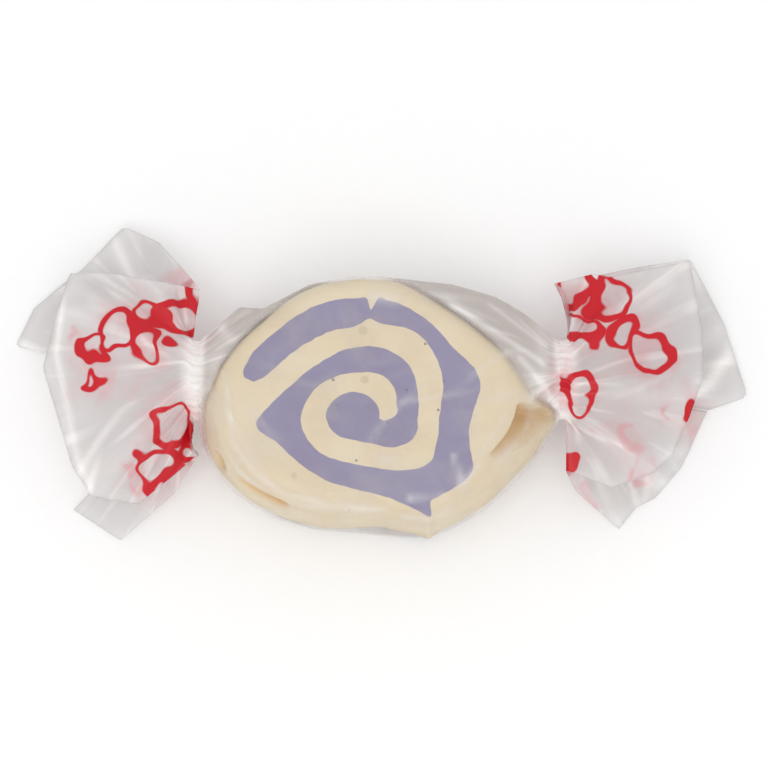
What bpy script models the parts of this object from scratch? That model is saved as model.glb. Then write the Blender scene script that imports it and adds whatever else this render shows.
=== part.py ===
"""Salt water taffy in a twisted wrapper of waxed paper, lying with its cut face up.

The taffy is a thick slice of a cream coloured rope with a purple strip rolled up in it.
The strip runs through the slice from face to face.
One sheet of waxed paper is rolled round the slice and twisted shut at both ends.
The long axis is X, the cut face looks up along Z, and the origin is on the resting face.
"""

import math

import bmesh
import bpy
import numpy as np
from mathutils import Vector
from mathutils.bvhtree import BVHTree

MM = 0.001

# Paper and clearances
PAPER = 0.25 * MM
CLEAR = 0.25 * MM
SLACK = 0.4 * MM
PLY_STEP = PAPER + CLEAR

# The slice of taffy. Both tables hold radii in millimetres, one every 15 degrees from +X.
SLICE_THICK = 12.4 * MM
SLICE_BASE = PLY_STEP + PAPER + SLACK
SLICE_MIDDLE = SLICE_BASE + SLICE_THICK / 2
SLICE_SIDES = 72
EDGE_ROUND = 1.3 * MM
EDGE_LEVELS = (0.0, 0.1, 0.3, 0.6, 1.0)
SIDE_LEVELS = 7
SIDE_SWELL = 1.6
END_SWELL = 0.3 * MM
TABLE_STEP = 15
FACE_RADII = (
    11.9, 10.95, 9.85, 9.25, 9.15, 9.45, 9.8, 10.15, 10.7, 11.2, 11.75, 13.0,
    13.9, 14.0, 13.5, 12.3, 11.2, 10.25, 9.9, 10.8, 11.25, 10.8, 11.0, 11.7,
)
GIRTH_RADII = (
    13.2, 11.5, 10.3, 9.7, 9.6, 9.9, 10.3, 10.65, 11.1, 11.6, 12.2, 13.5,
    14.9, 15.05, 14.25, 13.05, 11.9, 10.85, 10.5, 11.3, 12.0, 12.4, 12.8, 13.7,
)

# Points that were pulled out of the soft taffy: bearing, half width in degrees, reach. The first
# is on the side towards a twist, the other on the rim of the cut face.
NOSE = (355, 6.5, 1.25 * MM)
RIM_POINT = (291, 4.0, 0.75 * MM)

# The three-cornered pocket under the rim: each corner is a bearing and a height above the
# slice's base
POCKET = ((-5, 12.1 * MM), (-34, 12.0 * MM), (-3, 6.2 * MM))
POCKET_UNDERCUT = 1.0 * MM
POCKET_STEEP = 0.5 * MM
POCKET_SLOPE = 1.1 * MM
SIDE_PER_DEGREE = 0.21 * MM

# Dents where the soft taffy was pinched: bearing, height above the slice's base, half width in
# degrees, half height, depth
DENTS = (
    (219, 9.6 * MM, 8, 0.9 * MM, 1.1 * MM),
    (201, 8.0 * MM, 4, 1.4 * MM, 0.8 * MM),
)

# The purple strip, as the radii of its two edges about the middle of the roll. Each entry is the
# angle turned from +X in degrees, then the radius in millimetres.
ROLL_X = -2.3 * MM
ROLL_Y = -2.3 * MM
STRIP_OUTER = (
    (-366, 2.2), (-315, 2.1), (-225, 2.15), (-180, 2.4), (-135, 2.25), (-79, 2.25), (-55, 3.0),
    (-39, 4.35), (-19, 5.5), (-2, 5.45), (17, 5.75), (45, 6.45), (70, 6.35), (94, 5.9),
    (117, 5.5), (136, 5.6), (155, 6.05), (173, 7.25), (186, 8.4), (198, 7.1), (214, 6.4),
    (248, 6.1), (270, 6.35), (281, 6.8), (297, 8.3), (300.5, 9.0), (304, 9.9), (307, 10.8),
    (311, 9.9), (315, 10.0), (323, 10.5), (336, 11.1), (344, 10.3), (350.5, 9.95), (358, 10.0),
    (365, 10.4), (373, 11.1), (397, 10.35), (410, 10.45), (434.5, 10.5), (439, 10.4),
    (441.2, 9.4), (443.5, 10.25), (448, 10.3), (476, 10.1), (490, 9.95), (514, 10.3),
    (519, 10.2), (521, 9.9),
)
STRIP_INNER = (
    (-10, 2.6), (0, 3.5), (16, 3.8), (37, 4.25), (53, 4.25), (90, 3.75), (110, 3.75),
    (156, 4.2), (190, 4.55), (223, 4.35), (270, 4.2), (295, 5.05), (312, 6.35), (326, 7.55),
    (343, 7.4), (360, 7.3), (386, 8.35), (414, 9.0), (437, 8.45), (441.5, 8.6), (446, 8.1),
    (463, 7.7), (494, 7.65), (511, 8.1), (518, 8.6), (521, 9.1),
)
STRIP_STEP = 6

# The twists: where the paper is drawn together at each end
LEFT_NECK_X = -15.8 * MM
RIGHT_NECK_X = 15.5 * MM
NECK_Y = 2.2 * MM
NECK_LENGTH = 0.7 * MM
NECK_HALF_WIDTH = 3.4 * MM
NECK_HALF_HEIGHT = 2.8 * MM
NECK_TWIST = 12
NECK_ROWS = ((0.0, 0.6), (0.5, 1.0), (1.0, 0.9))
PLEATS_PER_TURN = 8
NECK_PLEAT = 0.5
FAN_PLEAT = 0.7 * MM
FAN_BULGE = 1.3 * MM
FAN_ROWS = (0.14, 0.3, 0.48, 0.66, 0.84, 1.0)

# Where the paper stands off the slice beside the twists: x, y in millimetres, at two heights
SHOULDER_HEIGHTS = (5.5 * MM, 9.0 * MM)
TAUT_SHOULDERS = ((6.4, 10.3), (10.0, 9.2), (12.5, 7.7), (14.8, 5.0), (-0.6, 10.6), (-6.4, 10.2))
FOLD_SHOULDERS = ((-14.8, 5.8), (-12.3, 8.3), (-9.9, 8.1))
SLEEVE_ROWS = (
    -15.6, -15.1, -14.4, -13.4, -12.3, -11.1, -9.8, -8.2, -6.3, -4.0, -1.4, 1.4,
    4.0, 6.3, 8.3, 10.0, 11.3, 12.5, 13.4, 14.2, 14.8, 15.25,
)

# How far round the sheet goes, in degrees from +Y over the top: on the slice, then at the twists
ROLL_START = 200
ROLL_TURN = 505
TWIST_START = 270
TWIST_TURN = 360
TWIST_FROM = 0.7
STEPS_PER_PLEAT = 7
OUTER_PLY = (0.45, 0.7)

# The cut edge at each end, from one side edge of the sheet to the other, as the creases that
# reach it: bearing in degrees from +Y over the top, then x, y, z in millimetres
LEFT_CREASES = (
    (270, -29.6, 6.1, 0.9), (275, -32.6, 6.6, 0.9), (292, -31.0, 10.1, 0.8), (312, -26.8, 13.6, 0.9),
    (335, -23.0, 17.4, 1.6), (345, -19.8, 15.6, 3.0), (360, -15.7, 10.2, 7.4),
    (378, -18.5, 10.6, 8.4), (400, -23.8, 11.7, 7.6), (415, -27.4, 11.9, 6.6),
    (425, -28.7, 7.5, 6.6), (440, -29.6, 3.4, 6.4), (475, -26.9, -5.3, 5.8),
    (490, -25.3, -7.8, 5.2), (515, -21.2, -8.4, 5.0), (540, -16.0, -4.2, 6.0),
    (565, -18.3, -7.3, 3.4), (600, -23.0, -11.0, 1.2), (630, -27.2, -8.2, 0.9),
)
RIGHT_CREASES = (
    (270, 29.1, 0.8, 0.9), (275, 32.6, 2.0, 0.9), (295, 30.6, 8.6, 0.9), (318, 27.6, 14.2, 2.5),
    (338, 22.9, 13.0, 4.5), (360, 15.0, 10.6, 8.0), (380, 18.5, 11.3, 8.8),
    (392, 19.9, 11.1, 8.4), (415, 27.2, 13.1, 6.5), (440, 28.2, 6.7, 6.6),
    (460, 28.2, 2.6, 6.4), (480, 26.9, -0.9, 6.0), (500, 25.4, -4.2, 5.6),
    (512, 23.8, -5.7, 5.4), (526, 20.2, -7.0, 5.4), (540, 16.2, -5.6, 6.0),
    (555, 17.3, -7.2, 3.6), (572, 21.0, -10.0, 1.2), (585, 22.5, -8.1, 0.9),
    (598, 24.2, -7.2, 0.9), (612, 26.6, -4.4, 0.9), (630, 29.0, 0.7, 0.9),
)

# Colours as linear red, green and blue
CREAM = (0.73, 0.63, 0.455)
PURPLE = (0.26, 0.235, 0.37)
WAXED_WHITE = (0.78, 0.77, 0.77)
TAFFY_ROUGHNESS = 0.55
PAPER_ROUGHNESS = 0.4
PAPER_ALPHA = 0.5
PAPER_FOLD_ANGLE = 35


def clear_scene():
    for thing in list(bpy.data.objects):
        bpy.data.objects.remove(thing)


def finish_of(name, colour, roughness, alpha=1.0):
    """A dull food or paper finish. Every finish here is non-metallic."""
    material = bpy.data.materials.new(name)
    material.use_nodes = True
    shader = material.node_tree.nodes["Principled BSDF"]
    shader.inputs["Base Color"].default_value = (*colour, 1.0)
    shader.inputs["Roughness"].default_value = roughness
    shader.inputs["Metallic"].default_value = 0.0
    shader.inputs["Alpha"].default_value = alpha
    return material


def smooth_table(angles, values, at):
    """A smooth curve through a table, with each tangent taken from the entries beside it."""
    angles = np.asarray(angles, float)
    values = np.asarray(values, float)
    slopes = np.gradient(values, angles)
    cell = np.clip(np.searchsorted(angles, at, side="right") - 1, 0, len(angles) - 2)
    width = angles[cell + 1] - angles[cell]
    t = (at - angles[cell]) / width
    return (
        (1 + 2 * t) * (1 - t) ** 2 * values[cell]
        + t * (1 - t) ** 2 * width * slopes[cell]
        + t * t * (3 - 2 * t) * values[cell + 1]
        + t * t * (t - 1) * width * slopes[cell + 1]
    )


def round_table(radii, at):
    """A smooth closed outline from radii that are evenly spaced round a turn."""
    wrap = 3
    ring = list(radii[-wrap:]) + list(radii) + list(radii[:wrap])
    angles = TABLE_STEP * (np.arange(len(ring)) - wrap)
    return smooth_table(angles, ring, np.mod(at, 360)) * MM


def smoothstep(low, high, x):
    t = np.clip((x - low) / (high - low), 0, 1)
    return t * t * (3 - 2 * t)


def degrees_from(centre, bearings):
    return np.mod(bearings - centre + 180, 360) - 180


def bump(point, bearings):
    """How far a pulled-out point raises an outline."""
    centre, half_width, reach = point
    return reach * np.exp(-((degrees_from(centre, bearings) / half_width) ** 2))


def right_of(start, end, side, height):
    """How far spots on the slice's unrolled side lie to the right of a line."""
    run = np.subtract(end, start)
    run = run / np.linalg.norm(run)
    return run[1] * (side - start[0]) - run[0] * (height - start[1])


def pocket_share(bearings, height):
    """1 in the pocket and 0 outside: steep at its two upper sides, sloping at the lower one."""
    side = degrees_from(0, bearings) * SIDE_PER_DEGREE
    a, b, c = ((bearing * SIDE_PER_DEGREE, level) for bearing, level in POCKET)
    under_rim = smoothstep(0, POCKET_STEEP, -right_of(a, b, side, height))
    under_ridge = smoothstep(0, POCKET_STEEP, -right_of(c, a, side, height))
    slope = smoothstep(0, POCKET_SLOPE, -right_of(b, c, side, height))
    return under_rim * under_ridge * slope


def dent_depth(bearings, height):
    """How far the side of the slice is pressed in at a height above its base."""
    depth = np.zeros_like(bearings, float)
    for at, level, half_width, half_height, deepest in DENTS:
        aside = degrees_from(at, bearings) / half_width
        above = (height - level) / half_height
        depth += deepest * np.exp(-(aside**2 + above**2))
    return depth


def slice_ring(height, bearings, grow):
    """One level outline of the slice. Its side swells in the middle and its edges are rounded."""
    from_face = min(height, SLICE_THICK - height)
    off_middle = abs(2 * height / SLICE_THICK - 1)
    face = round_table(FACE_RADII, bearings) + bump(RIM_POINT, bearings)
    girth = round_table(GIRTH_RADII, bearings) + bump(NOSE, bearings)
    girth = np.maximum(girth, face) + END_SWELL * np.cos(np.radians(bearings)) ** 2
    radius = face + (girth - face) * (1 - off_middle**SIDE_SWELL)
    short = max(0.0, EDGE_ROUND - from_face)
    radius = radius - (EDGE_ROUND - math.sqrt(EDGE_ROUND**2 - short**2))
    if grow == 0:
        floor = np.minimum(radius, face - POCKET_UNDERCUT)
        radius = radius + (floor - radius) * pocket_share(bearings, height)
        radius = radius - dent_depth(bearings, height)
    level = SLICE_BASE + height + grow * (2 * height / SLICE_THICK - 1)
    turn = np.radians(bearings)
    x = (radius + grow) * np.cos(turn)
    y = (radius + grow) * np.sin(turn)
    return np.stack([x, y, np.full_like(x, level)], axis=1)


def slice_rings(grow=0.0):
    """Outlines from the lower face to the upper one, closest together at the rounded edges."""
    bearings = np.arange(SLICE_SIDES) * 360.0 / SLICE_SIDES
    rounding = EDGE_ROUND * np.array(EDGE_LEVELS)
    side = np.linspace(EDGE_ROUND, SLICE_THICK - EDGE_ROUND, SIDE_LEVELS + 2)[1:-1]
    heights = np.concatenate([rounding, side, SLICE_THICK - rounding[::-1]])
    return [slice_ring(height, bearings, grow) for height in heights]


def add_object(name, points, faces, material=None):
    mesh = bpy.data.meshes.new(name)
    mesh.from_pydata([tuple(p) for p in points], [], faces)
    mesh.update()
    thing = bpy.data.objects.new(name, mesh)
    bpy.context.scene.collection.objects.link(thing)
    if material:
        mesh.materials.append(material)
    return thing


def loft(name, rings, material=None):
    """A closed solid through level rings, smooth at its side, with a flat fan on each end."""
    sides = len(rings[0])
    points = [tuple(p) for ring in rings for p in ring]
    faces = []
    for level in range(len(rings) - 1):
        for i in range(sides):
            j = (i + 1) % sides
            low, high = level * sides, (level + 1) * sides
            faces.append((low + i, low + j, high + j, high + i))
    for level, outward in ((0, False), (len(rings) - 1, True)):
        hub = len(points)
        points.append(tuple(rings[level].mean(axis=0)))
        for i in range(sides):
            a, b = level * sides + i, level * sides + (i + 1) % sides
            faces.append((hub, a, b) if outward else (hub, b, a))
    thing = add_object(name, points, faces, material)
    on_side = (len(rings) - 1) * sides
    smooth = [face < on_side for face in range(len(faces))]
    thing.data.polygons.foreach_set("use_smooth", smooth)
    return thing


def make_helper(thing):
    """A form that other pieces are cut by, which is not a piece itself."""
    thing.hide_render = True
    thing.display_type = "WIRE"
    return thing


def edge_angles(table):
    """Even steps along an edge of the strip, with the narrow turns of the edge in between."""
    at = np.array(table)[:, 0]
    even = np.arange(at[0], at[-1], STRIP_STEP)
    tight = at[np.r_[False, np.diff(at) < STRIP_STEP]]
    even = even[np.abs(even[:, None] - tight).min(axis=1) > STRIP_STEP / 3]
    return np.union1d(even, tight)


def strip_outline(grow):
    """The rolled strip seen from above, moved outwards by grow."""
    outer, inner = edge_angles(STRIP_OUTER), edge_angles(STRIP_INNER)[::-1]
    angles = np.radians(np.concatenate([outer, inner]))
    radii = np.concatenate([
        smooth_table(*zip(*STRIP_OUTER), outer),
        smooth_table(*zip(*STRIP_INNER), inner),
    ]) * MM
    flat = np.stack([ROLL_X + radii * np.cos(angles), ROLL_Y + radii * np.sin(angles)], axis=1)
    along = np.roll(flat, -1, axis=0) - np.roll(flat, 1, axis=0)
    along /= np.linalg.norm(along, axis=1, keepdims=True)
    return flat + grow * np.stack([along[:, 1], -along[:, 0]], axis=1)


def strip_prism(name, grow, material=None):
    """The strip as an upright prism that is taller than the slice."""
    outline = strip_outline(grow)
    low = SLICE_BASE - SLICE_THICK / 4
    high = SLICE_BASE + SLICE_THICK * 5 / 4
    count = len(outline)
    points = [(x, y, z) for z in (low, high) for x, y in outline]
    faces = [(i, (i + 1) % count, count + (i + 1) % count, count + i) for i in range(count)]
    faces.append(tuple(range(count - 1, -1, -1)))
    faces.append(tuple(range(count, 2 * count)))
    prism = add_object(name, points, faces, material)
    shape = bmesh.new()
    shape.from_mesh(prism.data)
    bmesh.ops.triangulate(shape, faces=shape.faces, ngon_method="EAR_CLIP")
    bmesh.ops.recalc_face_normals(shape, faces=shape.faces)
    shape.to_mesh(prism.data)
    shape.free()
    return prism


def combine(thing, other, operation):
    cut = thing.modifiers.new("cut", "BOOLEAN")
    cut.operation = operation
    cut.object = other
    cut.solver = "EXACT"


def make_taffy():
    """The cream slice with a slot for the strip, and the purple strip that fills the slot."""
    cream = loft("taffy_cream", slice_rings(), finish_of("cream_taffy", CREAM, TAFFY_ROUGHNESS))
    slot = make_helper(strip_prism("strip_slot", CLEAR / 2))
    combine(cream, slot, "DIFFERENCE")
    purple = finish_of("purple_taffy", PURPLE, TAFFY_ROUGHNESS)
    strip = strip_prism("taffy_swirl", -CLEAR / 2, purple)
    form = make_helper(loft("slice_form", slice_rings()))
    combine(strip, form, "INTERSECT")


def neck_ring(x, bearings):
    """The oval that the paper is drawn in to at a twist."""
    turn = np.radians(bearings)
    y = NECK_Y + NECK_HALF_WIDTH * np.cos(turn)
    z = SLICE_MIDDLE + NECK_HALF_HEIGHT * np.sin(turn)
    return np.stack([np.full_like(y, x), y, z], axis=1)


def hull_of(points):
    """A convex form round points, ready to cast rays at."""
    shape = bmesh.new()
    for p in points:
        shape.verts.new(p)
    hull = bmesh.ops.convex_hull(shape, input=shape.verts)
    spare = [g for g in hull["geom_interior"] if isinstance(g, bmesh.types.BMVert)]
    bmesh.ops.delete(shape, geom=spare, context="VERTS")
    tree = BVHTree.FromBMesh(shape)
    shape.free()
    return tree


def taut_forms():
    """The convex forms of taut paper: round the slice between the twists, and over the fold."""
    slice_points = [p for ring in slice_rings(SLACK + PAPER / 2) for p in ring]
    bearings = np.arange(0, 360, TABLE_STEP)
    left = list(neck_ring(LEFT_NECK_X, bearings))
    right = list(neck_ring(RIGHT_NECK_X, bearings))
    taut, fold = (
        [(x * MM, y * MM, z) for z in SHOULDER_HEIGHTS for x, y in places]
        for places in (TAUT_SHOULDERS, FOLD_SHOULDERS)
    )
    inmost = [(FOLD_SHOULDERS[-1][0] * MM, 0, z) for z in SHOULDER_HEIGHTS]
    return hull_of(slice_points + left + right + taut), hull_of(left + fold + inmost)


def bearings_of(across, twisted):
    """Where each point of the sheet's width lies round the long axis, in degrees from +Y."""
    on_slice = ROLL_START + ROLL_TURN * across
    at_twist = TWIST_START + TWIST_TURN * across
    return on_slice + (at_twist - on_slice) * twisted


def pleat_wave(bearings):
    """A zigzag from -1 in each valley to 1 on each ridge."""
    phase = np.mod(bearings * PLEATS_PER_TURN / 360.0, 1.0)
    return 1 - 4 * np.abs(phase - 0.5)


def sleeve_row(forms, x, across):
    """The paper round the slice at one place along it."""
    share = x / (LEFT_NECK_X if x < 0 else RIGHT_NECK_X)
    bearings = bearings_of(across, smoothstep(TWIST_FROM, 1.0, share))
    middle = Vector((x, NECK_Y * share**2, SLICE_MIDDLE))
    row = []
    for bearing in np.radians(bearings):
        towards = Vector((0, math.cos(bearing), math.sin(bearing)))
        hits = [form.ray_cast(middle, towards) for form in forms]
        row.append(max((hit for hit in hits if hit[0]), key=lambda hit: hit[3])[0])
    return np.array(row)


def neck_row(x, across, squeeze):
    """The paper in a twist, pleated in towards the middle."""
    bearings = bearings_of(across, 1.0)
    row = neck_ring(x, bearings)
    middle = np.array([x, NECK_Y, SLICE_MIDDLE])
    shrink = 1 - squeeze * (1 - pleat_wave(bearings)) / 2
    return middle + (row - middle) * shrink[:, None]


def fan_row(neck_x, creases, share, across):
    """The paper between a twist, at share 0, and its cut edge, at share 1."""
    creases = np.array(creases)
    bearings = bearings_of(across, 1.0)
    edge = np.stack([np.interp(bearings, creases[:, 0], creases[:, k]) for k in (1, 2, 3)], axis=1)
    side = math.copysign(1, neck_x)
    turned = bearings + side * NECK_TWIST * (1 - share) ** 2
    start = neck_ring(neck_x + side * NECK_LENGTH, turned)
    row = start + (edge * MM - start) * share
    row[:, 2] += FAN_BULGE * math.sin(math.pi * share) * np.clip(np.sin(np.radians(bearings)), 0, 1)
    return row


def outward(grid):
    """Unit normals of a grid of points, away from the inside of the wrapper."""
    along = np.gradient(grid, axis=0)
    across = np.gradient(grid, axis=1)
    normal = np.cross(across, along)
    return normal / np.linalg.norm(normal, axis=2, keepdims=True)


def sheet_grid():
    """The middle of the sheet: rows from the left cut edge to the right one."""
    pleats = PLEATS_PER_TURN * TWIST_TURN // 360
    across = np.linspace(0, 1, pleats * STEPS_PER_PLEAT + 1)
    forms = taut_forms()
    rows, pleating = [], []
    for share in reversed(FAN_ROWS):
        rows.append(fan_row(LEFT_NECK_X, LEFT_CREASES, share, across))
        pleating.append((1 - share) ** 2)
    for reach, squeeze in reversed(NECK_ROWS):
        rows.append(neck_row(LEFT_NECK_X - reach * NECK_LENGTH, across, squeeze * NECK_PLEAT))
        pleating.append(0.0)
    for x in SLEEVE_ROWS:
        rows.append(sleeve_row(forms, x * MM, across))
        pleating.append(0.0)
    for reach, squeeze in NECK_ROWS:
        rows.append(neck_row(RIGHT_NECK_X + reach * NECK_LENGTH, across, squeeze * NECK_PLEAT))
        pleating.append(0.0)
    for share in FAN_ROWS:
        rows.append(fan_row(RIGHT_NECK_X, RIGHT_CREASES, share, across))
        pleating.append((1 - share) ** 2)
    grid = np.array(rows)
    step = PLY_STEP * smoothstep(*OUTER_PLY, across)
    pleat = FAN_PLEAT * np.outer(pleating, pleat_wave(bearings_of(across, 1.0)))
    return grid + outward(grid) * (pleat + step)[:, :, None]


def make_wrapper():
    """The sheet of waxed paper as a closed solid of one thickness."""
    grid = sheet_grid()
    normals = outward(grid)
    rows, columns = grid.shape[:2]
    outer = (grid + normals * PAPER / 2).reshape(-1, 3)
    inner = (grid - normals * PAPER / 2).reshape(-1, 3)
    half = rows * columns

    def at(row, column, inside):
        return inside * half + row * columns + column

    faces = []
    for r in range(rows - 1):
        for c in range(columns - 1):
            faces.append((at(r, c, 0), at(r, c + 1, 0), at(r + 1, c + 1, 0), at(r + 1, c, 0)))
            faces.append((at(r, c, 1), at(r + 1, c, 1), at(r + 1, c + 1, 1), at(r, c + 1, 1)))
    for c in range(columns - 1):
        for r, turn in ((0, 1), (rows - 1, -1)):
            edge = (at(r, c, 0), at(r, c, 1), at(r, c + 1, 1), at(r, c + 1, 0))
            faces.append(edge[::turn])
    for r in range(rows - 1):
        for c, turn in ((0, -1), (columns - 1, 1)):
            edge = (at(r, c, 0), at(r, c, 1), at(r + 1, c, 1), at(r + 1, c, 0))
            faces.append(edge[::turn])
    paper = finish_of("waxed_paper", WAXED_WHITE, PAPER_ROUGHNESS, PAPER_ALPHA)
    wrapper = add_object("wrapper", np.vstack([outer, inner]), faces, paper)
    shape = bmesh.new()
    shape.from_mesh(wrapper.data)
    bmesh.ops.triangulate(shape, faces=shape.faces)
    bmesh.ops.recalc_face_normals(shape, faces=shape.faces)
    shape.to_mesh(wrapper.data)
    shape.free()
    wrapper.data.shade_smooth()
    wrapper.data.set_sharp_from_angle(angle=math.radians(PAPER_FOLD_ANGLE))


clear_scene()
make_taffy()
make_wrapper()
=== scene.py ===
import math
import random

import bmesh
import bpy
import numpy as np
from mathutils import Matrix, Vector, noise
from mathutils.bvhtree import BVHTree


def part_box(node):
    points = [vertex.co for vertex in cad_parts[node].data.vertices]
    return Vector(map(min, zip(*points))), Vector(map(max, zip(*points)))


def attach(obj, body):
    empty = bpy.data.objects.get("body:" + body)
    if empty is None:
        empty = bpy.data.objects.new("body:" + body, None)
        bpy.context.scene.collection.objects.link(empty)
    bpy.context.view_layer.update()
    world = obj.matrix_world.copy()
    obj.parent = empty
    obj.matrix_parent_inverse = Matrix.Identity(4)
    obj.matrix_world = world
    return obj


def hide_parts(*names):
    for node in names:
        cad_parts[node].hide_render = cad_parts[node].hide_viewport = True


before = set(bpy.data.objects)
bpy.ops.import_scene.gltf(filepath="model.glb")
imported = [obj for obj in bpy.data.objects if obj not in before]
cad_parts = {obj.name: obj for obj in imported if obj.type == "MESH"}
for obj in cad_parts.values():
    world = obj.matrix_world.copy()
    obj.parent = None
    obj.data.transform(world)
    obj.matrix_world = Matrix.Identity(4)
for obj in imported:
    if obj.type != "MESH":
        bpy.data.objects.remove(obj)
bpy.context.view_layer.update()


# The slice of cream taffy
# It is cut from a thick rope of pulled sugar with a second colour rolled up in it, so both faces are
# flat and the side swells a little. Handling has left a pocket, a nick and a slit in its side.
MM = 0.001
SLICE_SIDES = 400
FACE_RINGS = 30
EDGE_RINGS = 13
SIDE_RINGS = 44
SLICE_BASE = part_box("taffy_cream")[0][2]
SLICE_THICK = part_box("taffy_cream")[1][2] - SLICE_BASE
SLICE_MIDDLE = SLICE_BASE + SLICE_THICK / 2
EDGE_ROUND = 1.3 * MM
SIDE_SWELL = 1.6
END_SWELL = 0.5 * MM
LUMP_SCALE = 190
LUMP_HEIGHT = 0.09 * MM
GRAIN_SCALE = 900
GRAIN_HEIGHT = 0.012 * MM
SHARP_ANGLE = math.radians(50)
# Radii in mm of the upper face and of the side's widest level, one every TABLE_STEP degrees from +X.
TABLE_STEP = 15
FACE_RADII = (
    11.9, 10.95, 9.85, 9.25, 9.15, 9.45, 9.8, 10.15, 10.7, 11.2, 11.75, 13.0,
    13.9, 14.0, 13.5, 12.3, 11.2, 10.25, 9.9, 10.8, 11.25, 10.8, 11.0, 11.7,
)
GIRTH_RADII = (
    13.2, 11.5, 10.3, 9.7, 9.6, 9.9, 10.3, 10.65, 11.1, 11.6, 12.2, 13.5,
    14.9, 15.05, 14.25, 13.05, 11.9, 10.85, 10.5, 11.3, 12.0, 12.4, 12.8, 13.7,
)
# Two pulled-out points: bearing and half width in degrees, and reach.
NOSE = (355, 6.5, 1.25 * MM)
RIM_POINT = (291, 4.0, 0.75 * MM)
# The pocket's corners and the slit's ends, each a bearing in degrees and a height in the slice.
POCKET = ((-5, 12.1 * MM), (-34, 12.0 * MM), (-3, 6.2 * MM))
SLIT_ENDS = ((213, 9.5 * MM), (226, 9.3 * MM))
POCKET_UNDERCUT = 1.2 * MM
POCKET_STEEP = 0.3 * MM
POCKET_SLOPE = 1.1 * MM
SIDE_PER_DEGREE = 0.21 * MM
SLIT_DEPTH = 1.3 * MM
SLIT_WIDTH = 0.6 * MM
# How much shade is painted into the slit.
SLIT_DARKNESS = 2.2
# The nick's bearing, height, half width in degrees, half height and depth.
NICK = (201, 8.0 * MM, 3.2, 1.3 * MM, 0.7 * MM)
# How much shade is painted into the nick, the most painted shade anywhere, and the radii over which it
# fades in.
NICK_DARKNESS = 0.45
DARKEST = 1.3
SKIN_FROM = (8.5 * MM, 9.5 * MM)
CREAM = (0.73, 0.63, 0.455)
CREAM_WARM = (0.71, 0.59, 0.405)
CREAM_FLECK = (0.80, 0.69, 0.52)
BUBBLE_TAN = (0.60, 0.49, 0.33)
# Painted warm shade in the hollows, and a deeper painted shade where they are darkest.
HOLLOW_PAINTED_SHADE = (0.52, 0.27, 0.03)
HOLLOW_PAINTED_DEEP_SHADE = (0.42, 0.20, 0.02)
# A painted glow in the hollows, as if light came out of the taffy.
HOLLOW_PAINTED_GLOW = (0.12, 0.07, 0.0)
# Bubbles and specks that show in the upper face: x, y and radius in mm.
SPECK_DARK = (0.16, 0.13, 0.17)
BUBBLES = ((-1.55, 5.15, 0.46), (-1.4, 0.85, 0.42), (-7.4, -7.5, 0.3))
SPECKS = (
    (-4.1, 0.85, 0.17), (2.2, -0.05, 0.17), (3.8, 4.0, 0.14), (4.9, -1.8, 0.14), (5.4, 0.75, 0.12),
    (-2.7, -10.2, 0.12), (-3.8, -1.35, 0.12), (-2.1, -6.2, 0.13), (0.6, -2.9, 0.14),
)
# The rolled strip's two sides: degrees along the roll, past a full turn, and radius in mm.
ROLL_X = -2.3 * MM
ROLL_Y = -2.3 * MM
STRIP_OUTER = (
    (-366, 2.2), (-315, 2.1), (-225, 2.15), (-180, 2.4), (-135, 2.25), (-79, 2.25), (-55, 3.0),
    (-39, 4.35), (-19, 5.5), (-2, 5.45), (17, 5.75), (45, 6.45), (70, 6.35), (94, 5.9),
    (117, 5.5), (136, 5.6), (155, 6.05), (173, 7.25), (186, 8.4), (198, 7.1), (214, 6.4),
    (248, 6.1), (270, 6.35), (281, 6.8), (297, 8.3), (300.5, 9.0), (304, 9.9), (307, 10.8),
    (311, 9.9), (315, 10.0), (323, 10.5), (336, 11.1), (344, 10.3), (350.5, 9.95), (358, 10.0),
    (365, 10.4), (373, 11.1), (397, 10.35), (410, 10.45), (434.5, 10.5), (439, 10.4),
    (441.2, 9.4), (443.5, 10.25), (448, 10.3), (476, 10.1), (490, 9.95), (514, 10.3),
    (519, 10.2), (521, 9.9),
)
STRIP_INNER = (
    (-10, 2.6), (0, 3.5), (16, 3.8), (37, 4.25), (53, 4.25), (90, 3.75), (110, 3.75),
    (156, 4.2), (190, 4.55), (223, 4.35), (270, 4.2), (295, 5.05), (312, 6.35), (326, 7.55),
    (343, 7.4), (360, 7.3), (386, 8.35), (414, 9.0), (437, 8.45), (441.5, 8.6), (446, 8.1),
    (463, 7.7), (494, 7.65), (511, 8.1), (518, 8.6), (521, 9.1),
)
STRIP_STEP = 0.75
RAGGED_SCALE = 1400
RAGGED_WIDTH = 0.07 * MM
STRIP_DEPTH = 16 * MM


def smoothstep(low, high, x):
    t = np.clip((x - low) / (high - low), 0, 1)
    return t * t * (3 - 2 * t)


def smooth_table(angles, values, at):
    """A smooth curve through a table, with each tangent taken from the entries beside it."""
    angles = np.asarray(angles, float)
    values = np.asarray(values, float)
    slopes = np.gradient(values, angles)
    cell = np.clip(np.searchsorted(angles, at, side="right") - 1, 0, len(angles) - 2)
    width = angles[cell + 1] - angles[cell]
    t = (at - angles[cell]) / width
    return (
        (1 + 2 * t) * (1 - t) ** 2 * values[cell]
        + t * (1 - t) ** 2 * width * slopes[cell]
        + t * t * (3 - 2 * t) * values[cell + 1]
        + t * t * (t - 1) * width * slopes[cell + 1]
    )


def round_table(radii, at):
    """A smooth closed outline from radii that are evenly spaced round a turn."""
    wrap = 3
    ring = list(radii[-wrap:]) + list(radii) + list(radii[:wrap])
    angles = TABLE_STEP * (np.arange(len(ring)) - wrap)
    return smooth_table(angles, ring, np.mod(at, 360)) * MM


def degrees_from(centre, bearings):
    return np.mod(bearings - centre + 180, 360) - 180


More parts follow.
